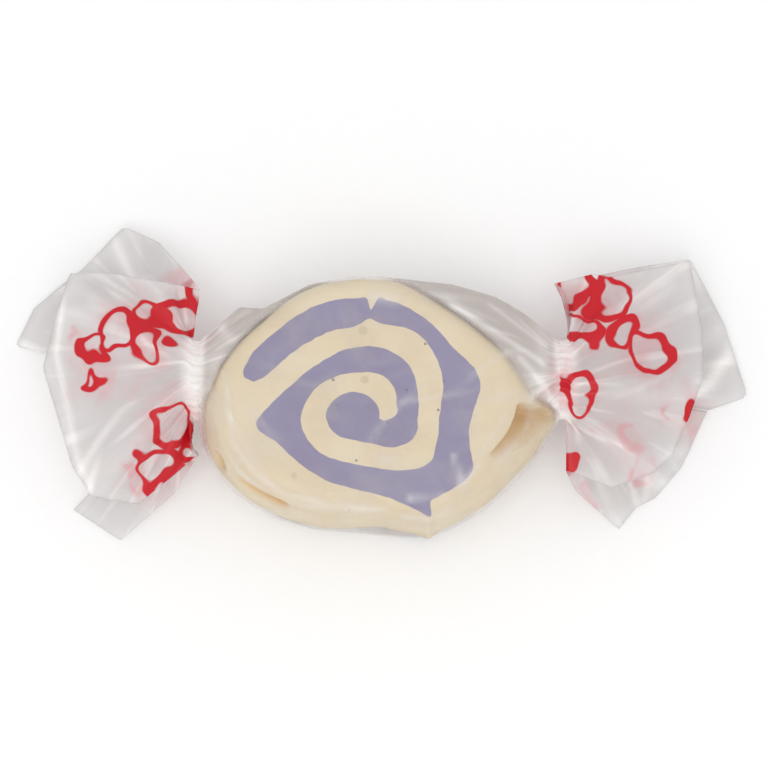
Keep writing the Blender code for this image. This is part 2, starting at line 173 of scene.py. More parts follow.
def bump(point, bearings):
    """How far a pulled-out point raises an outline."""
    centre, half_width, reach = point
    return reach * np.exp(-((degrees_from(centre, bearings) / half_width) ** 2))


def right_of(start, end, side, height):
    """How far spots on the slice's unrolled side lie to the right of a line."""
    run = np.subtract(end, start)
    run = run / np.linalg.norm(run)
    return run[1] * (side - start[0]) - run[0] * (height - start[1])


def pocket_share(bearings, height):
    """1 in the pocket and 0 outside: steep at its two upper sides, sloping at the lower one."""
    side = degrees_from(0, bearings) * SIDE_PER_DEGREE
    a, b, c = ((bearing * SIDE_PER_DEGREE, level) for bearing, level in POCKET)
    under_rim = smoothstep(0, POCKET_STEEP, -right_of(a, b, side, height))
    under_ridge = smoothstep(0, POCKET_STEEP, -right_of(c, a, side, height))
    slope = smoothstep(0, POCKET_SLOPE, -right_of(b, c, side, height))
    return under_rim * under_ridge * slope


def slit_share(bearings, height):
    """1 in the slit and 0 outside: it opens towards its end."""
    start, end = SLIT_ENDS
    along = np.clip(degrees_from(start[0], bearings) / (end[0] - start[0]), 0, 1)
    aside = height - (start[1] + (end[1] - start[1]) * along)
    over = (degrees_from(start[0], bearings) - along * (end[0] - start[0])) * SIDE_PER_DEGREE
    return (0.3 + 0.7 * along) * np.exp(-(aside**2 + over**2) / SLIT_WIDTH**2)


def nick_share(bearings, height):
    bearing, level, half_width, half_height, _ = NICK
    off = (degrees_from(bearing, bearings) / half_width) ** 2 + ((height - level) / half_height) ** 2
    return np.exp(-(off**2))


def slice_ring(height, bearings, grow, hollows):
    """One level outline of the slice. Its side swells in the middle and its edges are rounded."""
    from_face = min(height, SLICE_THICK - height)
    off_middle = abs(2 * height / SLICE_THICK - 1)
    face = round_table(FACE_RADII, bearings) + bump(RIM_POINT, bearings)
    girth = np.maximum(round_table(GIRTH_RADII, bearings) + bump(NOSE, bearings), face)
    girth = girth + END_SWELL * np.cos(np.radians(bearings)) ** 2
    radius = face + (girth - face) * (1 - off_middle**SIDE_SWELL)
    short = max(0.0, EDGE_ROUND - from_face)
    radius = radius - (EDGE_ROUND - math.sqrt(EDGE_ROUND**2 - short**2)) + grow
    if hollows:
        floor = np.minimum(radius, face - POCKET_UNDERCUT)
        radius = radius + (floor - radius) * pocket_share(bearings, height)
        radius = radius - SLIT_DEPTH * slit_share(bearings, height)
        radius = radius - NICK[-1] * nick_share(bearings, height)
    level = SLICE_BASE + height + grow * (2 * height / SLICE_THICK - 1)
    turn = np.radians(bearings)
    return np.stack([radius * np.cos(turn), radius * np.sin(turn), np.full_like(turn, level)], axis=1)


def slice_rings(sides, grow, hollows):
    """Outlines from the lower face to the upper one, closest together at the rounded edges."""
    bearings = np.arange(sides) * 360.0 / sides
    rounding = EDGE_ROUND * (1 - np.cos(np.radians(np.linspace(0, 90, EDGE_RINGS))))
    side = np.linspace(EDGE_ROUND, SLICE_THICK - EDGE_ROUND, SIDE_RINGS)[1:-1]
    heights = np.concatenate([rounding, side, SLICE_THICK - rounding[::-1]])
    return [slice_ring(height, bearings, grow, hollows) for height in heights]


def joined_mesh(name, points, faces):
    mesh = bpy.data.meshes.new(name)
    mesh.from_pydata([tuple(p) for p in points], [], faces)
    mesh.validate()
    mesh.update()
    thing = bpy.data.objects.new(name, mesh)
    bpy.context.scene.collection.objects.link(thing)
    return thing


def whole_slice():
    """The slice before the strip is cut out of it, with rings across both flat faces."""
    rings = slice_rings(SLICE_SIDES, 0.0, True)
    shares = np.linspace(1, 0, FACE_RINGS)[1:-1]
    low_hub, high_hub = rings[0].mean(axis=0), rings[-1].mean(axis=0)
    below = [low_hub + (rings[0] - low_hub) * share for share in shares]
    above = [high_hub + (rings[-1] - high_hub) * share for share in shares]
    rings = below[::-1] + rings + above
    points = np.vstack(rings + [low_hub[None], high_hub[None]])
    faces = []
    for level in range(len(rings) - 1):
        low, high = level * SLICE_SIDES, (level + 1) * SLICE_SIDES
        for i in range(SLICE_SIDES):
            j = (i + 1) % SLICE_SIDES
            faces.append((low + i, low + j, high + j, high + i))
    last = (len(rings) - 1) * SLICE_SIDES
    for i in range(SLICE_SIDES):
        j = (i + 1) % SLICE_SIDES
        faces.append((len(points) - 2, j, i))
        faces.append((len(points) - 1, last + i, last + j))
    hub = np.array([0, 0, SLICE_MIDDLE])
    away = (points - hub) / np.linalg.norm(points - hub, axis=1, keepdims=True)
    lumps = np.array([noise.fractal(Vector(p) * LUMP_SCALE, 1.0, 2.0, 2) for p in points])
    grain = np.array([noise.fractal(Vector(p) * GRAIN_SCALE, 1.0, 2.0, 2) for p in points])
    points = points + away * (LUMP_HEIGHT * lumps + GRAIN_HEIGHT * grain)[:, None]
    return joined_mesh("whole_slice", points, faces)


class Amount:
    """A number that varies over a surface. Each sum written with it adds a Math node."""

    def __init__(self, recipe, socket):
        self.recipe = recipe
        self.socket = socket

    def math(self, operation, *values):
        sockets = dict(enumerate(values))
        node = self.recipe.add("ShaderNodeMath", {"operation": operation}, sockets)
        return Amount(self.recipe, node.outputs[0])

    def __add__(self, other):
        return self.math("ADD", self, other)

    def __sub__(self, other):
        return self.math("SUBTRACT", self, other)

    def __rsub__(self, other):
        return self.math("SUBTRACT", other, self)

    def __mul__(self, other):
        return self.math("MULTIPLY", self, other)

    def __truediv__(self, other):
        return self.math("DIVIDE", self, other)

    def __rtruediv__(self, other):
        return self.math("DIVIDE", other, self)

    __radd__ = __add__
    __rmul__ = __mul__

    def size(self):
        return self.math("ABSOLUTE", self)

    def least(self, other):
        return self.math("MINIMUM", self, other)

    def most(self, other):
        return self.math("MAXIMUM", self, other)

    def rise(self, low, high, at_low=0.0, at_high=1.0):
        """A smooth change from at_low to at_high as the number goes from low to high."""
        node = self.recipe.add(
            "ShaderNodeMapRange",
            {"interpolation_type": "SMOOTHSTEP"},
            {"Value": self, "From Min": low, "From Max": high, "To Min": at_low, "To Max": at_high},
        )
        return Amount(self.recipe, node.outputs[0])


class Recipe:
    """The node tree of one finish."""

    def __init__(self, name):
        self.material = bpy.data.materials.new(name)
        self.material.use_nodes = True
        self.tree = self.material.node_tree
        self.tree.nodes.clear()

    def add(self, kind, settings=None, sockets=None):
        node = self.tree.nodes.new(kind)
        for key, value in (settings or {}).items():
            setattr(node, key, value)
        for key, value in (sockets or {}).items():
            value = value.socket if isinstance(value, Amount) else value
            if isinstance(value, bpy.types.NodeSocket):
                self.tree.links.new(value, node.inputs[key])
            else:
                node.inputs[key].default_value = value
        return node

    def place(self):
        """The spot on the piece, in its own coordinates."""
        return self.add("ShaderNodeTexCoord").outputs["Object"]

    def noise(self, scale, detail, at=None, roughness=0.5):
        sockets = {"Vector": at or self.place(), "Scale": scale, "Detail": detail, "Roughness": roughness}
        return Amount(self, self.add("ShaderNodeTexNoise", None, sockets).outputs[0])

    def attribute(self, name):
        node = self.add("ShaderNodeAttribute", {"attribute_name": name})
        return Amount(self, node.outputs["Fac"])

    def blend(self, amount, colour_a, colour_b):
        """One colour where the amount is 0 and another where it is 1."""
        colour_a, colour_b = ((*c, 1.0) if isinstance(c, tuple) else c for c in (colour_a, colour_b))
        sockets = {0: amount, 6: colour_a, 7: colour_b}
        return self.add("ShaderNodeMix", {"data_type": "RGBA"}, sockets).outputs[2]

    def vector(self, operation, first, second):
        return self.add("ShaderNodeVectorMath", {"operation": operation}, {0: first, 1: second}).outputs[0]

    def distance(self, at, spot):
        node = self.add("ShaderNodeVectorMath", {"operation": "DISTANCE"}, {0: at, 1: spot})
        return Amount(self, node.outputs["Value"])

    def bump(self, height, depth, strength=1.0):
        sockets = {"Height": height, "Distance": depth, "Strength": strength}
        return self.add("ShaderNodeBump", None, sockets).outputs[0]

    def finish(self, shader):
        self.add("ShaderNodeOutputMaterial", None, {"Surface": shader})
        self.material.cycles.emission_sampling = "NONE"
        return self.material


def taffy_finish(name, colour, colour_off, fleck_colour):
    """Pulled sugar: dull and waxy, faintly mottled, with a few small bubbles under its skin."""
    recipe = Recipe(name)
    at = recipe.place()
    clouds = recipe.noise(260, 3, at).rise(0.35, 0.65)
    base = recipe.blend(clouds, colour, colour_off)
    grain = recipe.noise(2600, 3, at, 0.65)
    base = recipe.blend(grain.rise(0.58, 0.75) * 0.16, base, fleck_colour)
    flat = recipe.add("ShaderNodeSeparateXYZ", None, {0: at})
    level = recipe.add("ShaderNodeCombineXYZ", None, {0: flat.outputs[0], 1: flat.outputs[1]})
    height = Amount(recipe, flat.outputs[2])
    upper = height.rise(SLICE_BASE + SLICE_THICK * 0.8, SLICE_BASE + SLICE_THICK * 0.9)
    for spots, shade, strength in ((BUBBLES, BUBBLE_TAN, 0.9), (SPECKS, SPECK_DARK, 0.8)):
        marks = None
        for x, y, radius in spots:
            away = recipe.distance(level.outputs[0], (x * MM, y * MM, 0)) / (radius * MM)
            mark = away.rise(0.6, 1.1, 1.0, 0.0)
            marks = mark if marks is None else marks.most(mark)
        base = recipe.blend(marks * upper * strength, base, shade)
    # Painted warm shade in the pocket, slit and nick, deeper where they are darkest.
    hollow_shade = recipe.attribute("hollow_shade")
    base = recipe.blend(hollow_shade, base, HOLLOW_PAINTED_SHADE)
    base = recipe.blend(hollow_shade.rise(0.8, DARKEST), base, HOLLOW_PAINTED_DEEP_SHADE)
    relief = recipe.bump(grain + recipe.noise(700, 2, at) * 2, 0.03 * MM, 0.5)
    shader = recipe.add("ShaderNodeBsdfPrincipled", None, {
        "Base Color": base,
        "Roughness": recipe.noise(420, 2, at).rise(0.3, 0.7, 0.42, 0.6),
        "Specular IOR Level": 0.4,
        # A painted glow in the hollows.
        "Emission Color": recipe.blend(hollow_shade, (0.0, 0.0, 0.0), HOLLOW_PAINTED_GLOW),
        "Emission Strength": 1.0,
        "Normal": relief,
    })
    return recipe.finish(shader.outputs[0])


cream_finish = taffy_finish("cream_taffy_finish", CREAM, CREAM_WARM, CREAM_FLECK)


def strip_outline():
    """The rolled strip seen from above, as a closed loop."""
    outer = np.arange(STRIP_OUTER[0][0], STRIP_OUTER[-1][0] + 0.1, STRIP_STEP)
    inner = np.arange(STRIP_INNER[-1][0], STRIP_INNER[0][0] - 0.1, -STRIP_STEP)
    angles = np.radians(np.concatenate([outer, inner]))
    radii = np.concatenate([
        smooth_table(*zip(*STRIP_OUTER), outer),
        smooth_table(*zip(*STRIP_INNER), inner),
    ]) * MM
    x = ROLL_X + radii * np.cos(angles)
    y = ROLL_Y + radii * np.sin(angles)
    ragged = np.array([noise.noise(Vector((a, b, 0)) * RAGGED_SCALE) for a, b in zip(x, y)])
    radii = radii + RAGGED_WIDTH * ragged
    x = ROLL_X + radii * np.cos(angles)
    y = ROLL_Y + radii * np.sin(angles)
    return np.stack([x, y, np.zeros_like(x)], axis=1)


def tree_with_inputs(name, inputs):
    """An empty Geometry Nodes tree that takes and gives geometry, with its sizes as inputs."""
    tree = bpy.data.node_groups.new(name, "GeometryNodeTree")
    tree.interface.new_socket("Geometry", in_out="INPUT", socket_type="NodeSocketGeometry")
    for label, kind in inputs:
        tree.interface.new_socket(label, in_out="INPUT", socket_type=kind)
    tree.interface.new_socket("Geometry", in_out="OUTPUT", socket_type="NodeSocketGeometry")
    return tree, tree.nodes.new("NodeGroupInput"), tree.nodes.new("NodeGroupOutput")


def tree_node(tree, kind, settings=None, sockets=None):
    node = tree.nodes.new(kind)
    for key, value in (settings or {}).items():
        setattr(node, key, value)
    for key, value in (sockets or {}).items():
        if isinstance(value, bpy.types.NodeSocket):
            tree.links.new(value, node.inputs[key])
        else:
            node.inputs[key].default_value = value
    return node


def grown(thing, tree, values):
    """The plain mesh that a Geometry Nodes tree makes of a thing."""
    modifier = thing.modifiers.new(tree.name, "NODES")
    modifier.node_group = tree
    for item in tree.interface.items_tree:
        if item.in_out == "INPUT" and item.name in values:
            modifier[item.identifier] = values[item.name]
    bpy.context.view_layer.update()
    ready = thing.evaluated_get(bpy.context.evaluated_depsgraph_get())
    mesh = bpy.data.meshes.new_from_object(ready)
    thing.modifiers.remove(modifier)
    return mesh


def prism_tree():
    """Fills a flat loop and raises it into an upright prism."""
    tree, given, made = tree_with_inputs(
        "rolled_strip", (("Depth", "NodeSocketFloat"), ("Finish", "NodeSocketMaterial"))
    )
    curve = tree_node(tree, "GeometryNodeMeshToCurve", None, {0: given.outputs["Geometry"]})
    floor = tree_node(tree, "GeometryNodeFillCurve", None, {"Curve": curve.outputs[0]})
    up = tree_node(tree, "ShaderNodeCombineXYZ", None, {"Z": 1.0})
    raised = tree_node(tree, "GeometryNodeExtrudeMesh", None, {
        "Mesh": floor.outputs[0],
        "Offset": up.outputs[0],
        "Offset Scale": given.outputs["Depth"],
        "Individual": False,
    })
    under = tree_node(tree, "GeometryNodeFlipFaces", None, {"Mesh": floor.outputs[0]})
    both = tree_node(tree, "GeometryNodeJoinGeometry", None, {0: raised.outputs[0]})
    tree.links.new(under.outputs[0], both.inputs[0])
    sealed = tree_node(tree, "GeometryNodeMergeByDistance", None, {
        "Geometry": both.outputs[0],
        "Distance": 1e-7,
    })
    plain = tree_node(tree, "GeometryNodeRealizeInstances", None, {0: sealed.outputs[0]})
    coloured = tree_node(tree, "GeometryNodeSetMaterial", None, {
        "Geometry": plain.outputs[0],
        "Material": given.outputs["Finish"],
    })
    tree.links.new(coloured.outputs[0], made.inputs[0])
    return tree


def strip_prism():
    loop = strip_outline()
    guide = bpy.data.meshes.new("strip_loop")
    guide.from_pydata([tuple(p) for p in loop], [(i, (i + 1) % len(loop)) for i in range(len(loop))], [])
    thing = bpy.data.objects.new("strip_prism", guide)
    bpy.context.scene.collection.objects.link(thing)
    thing.data = grown(thing, prism_tree(), {"Depth": STRIP_DEPTH, "Finish": cream_finish})
    shape = bmesh.new()
    shape.from_mesh(thing.data)
    bmesh.ops.recalc_face_normals(shape, faces=shape.faces)
    shape.to_mesh(thing.data)
    shape.free()
    return thing


def cut_piece(name, other, operation, finish):
    """A copy of the whole slice, cut by the strip's prism, with painted shade marked in its hollows."""
    piece = bpy.data.objects.new(name, taffy_slice.data.copy())
    bpy.context.scene.collection.objects.link(piece)
    piece.data.materials.clear()
    cut = piece.modifiers.new("cut", "BOOLEAN")
    cut.operation = operation
    cut.object = other
    cut.solver = "EXACT"
    bpy.context.view_layer.update()
    ready = piece.evaluated_get(bpy.context.evaluated_depsgraph_get())
    piece.data = bpy.data.meshes.new_from_object(ready)
    piece.modifiers.clear()
    piece.data.materials.clear()
    piece.data.materials.append(finish)
    piece.data.polygons.foreach_set("material_index", [0] * len(piece.data.polygons))
    piece.data.shade_smooth()
    piece.data.set_sharp_from_angle(angle=SHARP_ANGLE)
    points = np.empty(len(piece.data.vertices) * 3)
    piece.data.vertices.foreach_get("co", points)
    x, y, z = points.reshape(-1, 3).T
    bearings, height = np.degrees(np.arctan2(y, x)), z - SLICE_BASE
    # How much shade to paint into the pocket, slit and nick, only near the slice's outside.
    hollow_shade = pocket_share(bearings, height) + SLIT_DARKNESS * slit_share(bearings, height)
    hollow_shade += NICK_DARKNESS * nick_share(bearings, height)
    outside = smoothstep(*SKIN_FROM, np.hypot(x, y))
    layer = piece.data.attributes.new("hollow_shade", "FLOAT", "POINT")
    layer.data.foreach_set("value", np.clip(hollow_shade * outside, 0, DARKEST))
    return piece


taffy_slice = whole_slice()
prism = strip_prism()
cream = cut_piece("cream_slice", prism, "DIFFERENCE", cream_finish)
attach(cream, "root")
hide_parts("taffy_cream")


# The rolled strip of purple taffy
# A second ribbon of taffy is rolled up in the rope before it is pulled, so it runs through the slice
# from face to face as a spiral. Its edges are a little ragged where the two colours fused.
PURPLE = (0.26, 0.235, 0.37)
PURPLE_WARM = (0.24, 0.213, 0.335)
PURPLE_FLECK = (0.34, 0.31, 0.45)
purple_finish = taffy_finish("purple_taffy_finish", PURPLE, PURPLE_WARM, PURPLE_FLECK)
swirl = cut_piece("purple_strip", prism, "INTERSECT", purple_finish)
bpy.data.objects.remove(prism)
bpy.data.objects.remove(taffy_slice)
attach(swirl, "root")
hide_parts("taffy_swirl")


# The waxed paper
# One sheet is rolled round the slice with its seam underneath and twisted at both ends. It clears
# where it touches the sweet, looks milky where it stands off, and whitens along every crease. Painted
# highlights lie along the slice's rim and, in part, on the pleat ridges, twists and folds, and the
# creases have a painted glow.
PAPER = 0.05 * MM
PLY_STEP = 0.11 * MM
SLACK = 0.16 * MM
CLEARANCE = 0.12 * MM
BOX_MARGIN = 0.02 * MM
LEFT_NECK_X = -15.8 * MM
RIGHT_NECK_X = 15.5 * MM
NECK_Y = 2.2 * MM
NECK_LENGTH = 0.7 * MM
NECK_HALF_WIDTH = 3.4 * MM
NECK_HALF_HEIGHT = 2.8 * MM
NECK_TWIST = 12
FAN_BULGE = 1.3 * MM
# Where taut paper touches the slice: on these of its rings, at every third point and some others.
TOUCH_SIDES = 72
TOUCH_RINGS = (0, 4, 8, 12, 22, 32, 44, 56, 60, 64, -1)
TOUCH_EVERY = 3
TOUCH_CHANCE = 0.25
TOUCH_GROWTH = 1.006
TOUCH_SEED = 11
SWEET_SIDES = 120
# Corners of the paper between the slice and the twists: x and y in mm, at both heights.
SHOULDER_HEIGHTS = (5.5 * MM, 9.0 * MM)
TAUT_SHOULDERS = ((6.4, 10.3), (10.0, 9.2), (12.5, 7.7), (14.8, 5.0), (-0.6, 10.6), (-6.4, 10.2))
FOLD_SHOULDERS = ((-14.8, 5.8), (-12.3, 8.3), (-9.9, 8.1))
# Degrees at which the sheet's width starts, and how far it goes round, on the slice and at a twist.
ROLL_START = 200
ROLL_TURN = 505
TWIST_START = 270
TWIST_TURN = 360
SHEET_COLUMNS = 250
SLEEVE_ROWS = 84
SLEEVE_SWING = 85
NECK_ROWS = 7
FAN_ROWS = 44
# Where creases and streaks lie on the sheet once it is spread out, roughly in mm, and its UV unit.
SHEET_WIDTH = 75
FAN_LENGTH = 15
NECK_AT = 24
NECK_SPAN = 1.5
UV_UNIT = 100
# Corners of each fan's cut edge: degrees round the twist, then x, y and z in mm.
LEFT_CREASES = (
    (270, -29.6, 6.1, 0.9), (275, -32.6, 6.6, 0.9), (292, -31.0, 10.1, 0.8), (312, -26.8, 13.6, 0.9),
    (335, -23.0, 17.4, 1.6), (345, -19.8, 15.6, 3.0), (360, -15.7, 10.2, 7.4),
    (378, -18.5, 10.6, 8.4), (400, -23.8, 11.7, 7.6), (415, -27.4, 11.9, 6.6),
    (425, -28.7, 7.5, 6.6), (440, -29.6, 3.4, 6.4), (475, -26.9, -5.3, 5.8),
    (490, -25.3, -7.8, 5.2), (515, -21.2, -8.4, 5.0), (540, -16.0, -4.2, 6.0),
    (565, -18.3, -7.3, 3.4), (600, -23.0, -11.0, 1.2), (630, -27.2, -8.2, 0.9),
)
RIGHT_CREASES = (
    (270, 29.1, 0.8, 0.9), (275, 32.6, 2.0, 0.9), (295, 30.6, 8.6, 0.9), (318, 27.6, 14.2, 2.5),
    (338, 22.9, 13.0, 4.5), (360, 15.0, 10.6, 8.0), (380, 18.5, 11.3, 8.8),
    (392, 19.9, 11.1, 8.4), (415, 27.2, 13.1, 6.5), (440, 28.2, 6.7, 6.6),
    (460, 28.2, 2.6, 6.4), (480, 26.9, -0.9, 6.0), (500, 25.4, -4.2, 5.6),
    (512, 23.8, -5.7, 5.4), (526, 20.2, -7.0, 5.4), (540, 16.2, -5.6, 6.0),
    (555, 17.3, -7.2, 3.6), (572, 21.0, -10.0, 1.2), (585, 22.5, -8.1, 0.9),
    (598, 24.2, -7.2, 0.9), (612, 26.6, -4.4, 0.9), (630, 29.0, 0.7, 0.9),
)
PLEATS = 26
PLEAT_SEEDS = (5, 8)
NECK_PLEAT = 0.28 * MM
NECK_EASING = 4
BROAD_PLEATS = 9
BROAD_PLEAT = 0.6 * MM
RIDGE_DEPTH = 0.12 * MM
# Random creases: seed, count, places along the sheet, lengths and heights in mm, spread of their
# directions in degrees, and whiteness.
CRUMPLES = (
    (21, 30, (-41, -25), (3, 12), (0.05, 0.25), 24, 1.0),
    (22, 30, (25, 41), (3, 12), (0.05, 0.25), 24, 1.0),
    (23, 60, (-24, 24), (4, 12), (0.01, 0.06), 20, 0.5),
)
CREASE_WIDTH = 0.45
# The longest folds on the upper side, with painted highlights where they follow the slice's rim: two ends
# and half width in mm, and whiteness.
FOLDS_AND_RIM_HIGHLIGHTS = (
    ((6.3, 7.5), (14.0, 2.8), 0.3, 0.55), ((7.6, 6.4), (12.8, 3.4), 0.25, 0.4),
    ((9.4, 8.2), (14.2, 4.6), 0.25, 0.4), ((12.0, 3.0), (15.0, -0.5), 0.35, 0.6),
    ((2.4, -9.4), (5.2, -9.0), 0.25, 0.8), ((6.2, -5.8), (6.8, -8.3), 0.25, 0.6),
    ((6.8, -8.3), (8.4, -6.4), 0.25, 0.6), ((8.6, -5.6), (10.6, -2.4), 0.3, 0.4),
    ((-0.6, 8.1), (1.2, 7.9), 0.6, 0.6), ((-12.8, 4.6), (-14.4, 7.2), 0.4, 0.4),
    ((-13.4, 1.6), (-12.6, -4.6), 0.25, 0.5), ((-12.6, -4.6), (-10.8, -7.2), 0.25, 0.5),
    ((-10.8, -7.2), (-8.1, -9.0), 0.25, 0.5), ((-8.1, -9.0), (-4.5, -9.9), 0.25, 0.5),
    ((-4.5, -9.9), (0.2, -10.3), 0.25, 0.4), ((-27.9, 9.9), (-28.4, 4.5), 0.3, 0.6),
    ((-28.4, 4.5), (-27.0, -2.5), 0.3, 0.6), ((-27.0, -2.5), (-26.0, -6.8), 0.3, 0.5),
)
# A painted highlight on the paper along the slice's rim: its drop below the upper face, half width,
# whiteness and the scale of its patches.
RIM_HIGHLIGHT_DROP = 0.9 * MM
RIM_HIGHLIGHT_WIDTH = 0.5 * MM
RIM_HIGHLIGHT_WHITENESS = 0.4
PATCH_SCALE = 350
# The twists whiten where the paper bunches, partly as painted light against the shade in their pleats.
NECK_WHITENESS_AND_PAINTED_LIGHT = 0.75
# The pleats' ridges whiten, partly as a painted highlight.
RIDGE_WHITENESS_AND_HIGHLIGHT = 0.3
# The paper is clear up to the first gap from the sweet and milky from the second. In front, and
# round the pocket's spot, a slack is taken off the gap first, so it stays clear further out.
CLEAR_GAPS = (0.22 * MM, 0.55 * MM)
FRONT_AND_BACK = (-4 * MM, 1 * MM)
FRONT_SLACK = 0.7 * MM
POCKET_SPOT = (10.9 * MM, -3.4 * MM)
POCKET_RADII = (1.5 * MM, 3.0 * MM)
POCKET_SLACK = 1.5 * MM
PAPER_WHITE = (0.78, 0.77, 0.77)
PAPER_SHADE = (0.71, 0.665, 0.65)
# The white of creases and of painted highlights.
CREASE_AND_HIGHLIGHT_WHITE = (0.96, 0.955, 0.945)
# A painted glow along the creases and painted highlights.
CREASE_PAINTED_GLOW = (0.10, 0.095, 0.09)
FILM_SHADE = (0.80, 0.735, 0.70)
MILKY_COVER = 0.5
CLEAR_COVER = 0.04
LET_THROUGH = 0.35
INK_RED = (0.60, 0.006, 0.016)
INK_PALE = (0.84, 0.54, 0.56)
INK_SPREAD = 0.08
INK_HEIGHTS = (4.6 * MM, 5.2 * MM)
WANDER_SCALE = 330
WANDER = 4.2 * MM
STREAKS = (9, 55, 0)
# The print's loops: x, y, radius and hole in mm, and the way the hole is off centre, in radians.
LOOPS = (
    (-17.4, 7.4, 2.2, 1.55, 0.6), (-20.0, 7.6, 1.7, 1.0, 2.2), (-22.9, 6.4, 1.8, 1.2, 4.0),
    (-24.8, 4.4, 1.4, 0.85, 1.0), (-16.9, 10.4, 1.2, 0.5, 5.2), (-25.0, 1.9, 0.7, 0.3, 2.0),
    (-20.6, 4.9, 1.5, 1.05, 5.0), (-18.0, -2.0, 1.8, 1.3, 1.4), (-19.4, -5.4, 1.9, 1.4, 3.6),
    (-16.6, -4.6, 1.2, 0.75, 0.4), (17.0, 10.4, 1.7, 1.15, 3.0), (20.0, 9.6, 2.1, 1.5, 0.4),
    (17.5, 6.6, 1.7, 1.2, 1.7), (20.8, 6.0, 1.6, 1.0, 5.0), (23.6, 4.2, 1.9, 1.3, 3.3),
    (17.2, 1.0, 1.8, 1.25, 4.4), (15.8, -4.6, 0.9, 0.0, 0.0), (27.2, -0.2, 0.6, 0.0, 0.0),
)
# Pale patches of print that shows through from behind: x, y and radius in mm.
BLOTCHES = (
    (20.6, -2.4, 3.6), (25.0, -0.6, 2.2), (17.8, -7.2, 2.2), (24.4, 8.6, 1.6), (23.0, -5.4, 1.8),
    (-21.8, 1.8, 2.0), (-21.6, -6.4, 1.8), (-26.8, 5.6, 1.4), (-21.0, 10.4, 1.8),
)


def bearings_of(across, twisted):
    """Where each point of the sheet's width lies round the long axis, in degrees from +Y."""
    on_slice = ROLL_START + ROLL_TURN * across
    at_twist = TWIST_START + TWIST_TURN * across
    return on_slice + (at_twist - on_slice) * twisted


def neck_ring(x, bearings):
    """The oval that the paper is drawn in to at a twist."""
    turn = np.radians(bearings)
    y = NECK_Y + NECK_HALF_WIDTH * np.cos(turn)
    z = SLICE_MIDDLE + NECK_HALF_HEIGHT * np.sin(turn)
    return np.stack([np.full_like(y, x), y, z], axis=1)


def tree_of(points_or_rings, hull):
    """A form that rays can be cast at: the convex hull of points, or a loft through rings."""
    shape = bmesh.new()
    if hull:
        for p in points_or_rings:
            shape.verts.new(p)
        made = bmesh.ops.convex_hull(shape, input=shape.verts)
        spare = [g for g in made["geom_interior"] if isinstance(g, bmesh.types.BMVert)]
        bmesh.ops.delete(shape, geom=spare, context="VERTS")
    else:
        loops = [[shape.verts.new(p) for p in ring] for ring in points_or_rings]
        for low, high in zip(loops, loops[1:]):
            for i in range(len(low)):
                j = (i + 1) % len(low)
                shape.faces.new((low[i], low[j], high[j], high[i]))
        shape.faces.new(loops[0][::-1])
        shape.faces.new(loops[-1])
    shape.normal_update()
    form = BVHTree.FromBMesh(shape)
    shape.free()
    return form


def taut_forms():
    """The forms of taut paper: flat facets between the places it touches, and over the fold."""
    draw = random.Random(TOUCH_SEED)
    floor = PLY_STEP + PAPER / 2
    points = []
    rings = slice_rings(TOUCH_SIDES, SLACK + PAPER / 2, False)
    for k in TOUCH_RINGS:
        for i, p in enumerate(rings[k]):
            if i % TOUCH_EVERY == 0 or draw.random() < TOUCH_CHANCE:
                points.append(tuple(p * (TOUCH_GROWTH, TOUCH_GROWTH, 1)))
    points += [(p[0], p[1], floor) for p in rings[0][::TOUCH_EVERY]]
    bearings = np.arange(0, 360, 15.0)
    left = [tuple(p) for p in neck_ring(LEFT_NECK_X, bearings)]
    right = [tuple(p) for p in neck_ring(RIGHT_NECK_X, bearings)]
    taut, fold = (
        [(x * MM, y * MM, z) for z in SHOULDER_HEIGHTS for x, y in places]
        for places in (TAUT_SHOULDERS, FOLD_SHOULDERS)
    )
    inmost = [(FOLD_SHOULDERS[-1][0] * MM, 0, z) for z in SHOULDER_HEIGHTS]
    return tree_of(points + left + right + taut, True), tree_of(left + fold + inmost, True)


def sleeve_row(forms, x, across):
    """The paper round the slice at one place along it."""
    share = x / (LEFT_NECK_X if x < 0 else RIGHT_NECK_X)
    bearings = bearings_of(across, smoothstep(0.7, 1.0, share))
    middle = Vector((x, NECK_Y * share**2, SLICE_MIDDLE))
    row = []
    for bearing in np.radians(bearings):
        towards = Vector((0, math.cos(bearing), math.sin(bearing)))
        hits = [form.ray_cast(middle, towards) for form in forms]
        row.append(tuple(max((hit for hit in hits if hit[0]), key=lambda hit: hit[3])[0]))
    return np.array(row)


def fan_row(side, share, across):
    """The paper between a twist, at share 0, and its cut edge, at share 1."""
    creases = np.array(LEFT_CREASES if side < 0 else RIGHT_CREASES)
    neck_x = LEFT_NECK_X if side < 0 else RIGHT_NECK_X
    bearings = bearings_of(across, 1.0)
    edge = np.stack([np.interp(bearings, creases[:, 0], creases[:, k]) for k in (1, 2, 3)], axis=1)
    turned = bearings + side * NECK_TWIST * (1 - share) ** 2
    start = neck_ring(neck_x + side * NECK_LENGTH, turned)
    row = start + (edge * MM - start) * share
    row[:, 2] += FAN_BULGE * math.sin(math.pi * share) * np.clip(np.sin(np.radians(bearings)), 0, 1)
    return row


def outward(grid):
    """Unit normals of a grid of points, away from the inside of the wrapper."""
    along = np.gradient(grid, axis=0)
    across = np.gradient(grid, axis=1)
    normal = np.cross(across, along)
    return normal / np.linalg.norm(normal, axis=2, keepdims=True)


